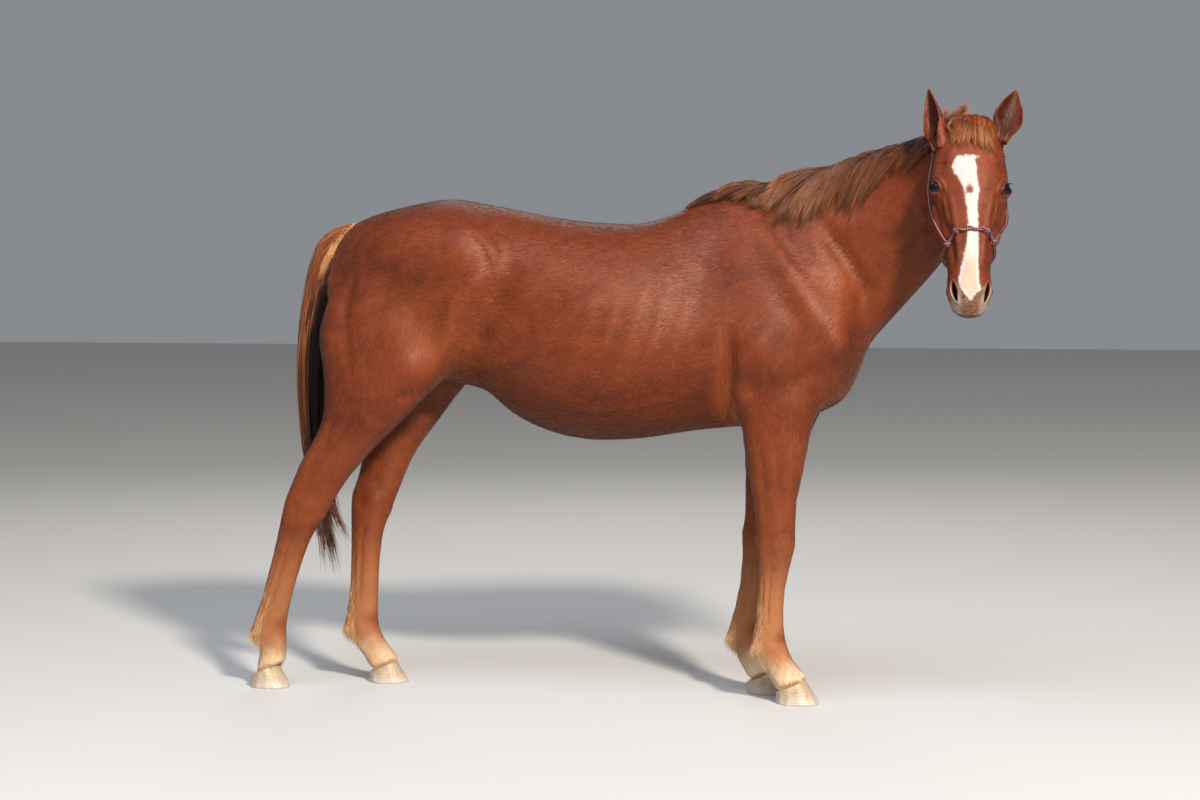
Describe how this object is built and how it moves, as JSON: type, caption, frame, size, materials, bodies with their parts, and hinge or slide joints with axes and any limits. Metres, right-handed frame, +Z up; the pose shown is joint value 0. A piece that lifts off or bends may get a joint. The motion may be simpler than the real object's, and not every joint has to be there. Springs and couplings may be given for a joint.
{
  "type": "horse",
  "caption": "Life-size still model of a chestnut horse with a white blaze, standing side-on with its head turned to the viewer, in a thin rope halter.",
  "frame": {"origin": "on the floor at the middle of the whole horse's box", "axes": "+X from tail to chest, +Y to the horse's left, +Z up"},
  "size_m": [2.4064, 0.791, 1.8476],
  "materials": {
    "coat": "short chestnut hair lying flat, with a satin sheen",
    "pale_coat": "short flaxen and cream hair over the pasterns, longer behind the fetlocks",
    "mane_hair": "long coarse hair, tan brown with flaxen tips, blown back",
    "tail_hair": "long coarse hair, near black inside with flaxen outer strands",
    "hoof_horn": "pale tan horn with fine growth rings, unshod and dusty",
    "eye": "dark brown wet eye",
    "halter_rope": "braided burgundy cord flecked with white"
  },
  "bodies": {
    "root": {"head": "coat", "neck": "coat", "trunk": "coat", "fore_right_forearm": "coat", "fore_right_cannon": "coat", "fore_right_pastern": "pale_coat", "fore_right_hoof": "hoof_horn", "fore_left_forearm": "coat", "fore_left_cannon": "coat", "fore_left_pastern": "pale_coat", "fore_left_hoof": "hoof_horn", "hind_right_gaskin": "coat", "hind_right_cannon": "coat", "hind_right_pastern": "pale_coat", "hind_right_hoof": "hoof_horn", "hind_left_gaskin": "coat", "hind_left_cannon": "coat", "hind_left_pastern": "pale_coat", "hind_left_hoof": "hoof_horn", "eye_left": "eye", "ear_left": "coat", "eye_right": "eye", "ear_right": "coat", "mane": "mane_hair", "forelock": "mane_hair", "tail": "tail_hair", "halter_noseband": "halter_rope", "halter_headstall": "halter_rope"}
  },
  "joints": []
}
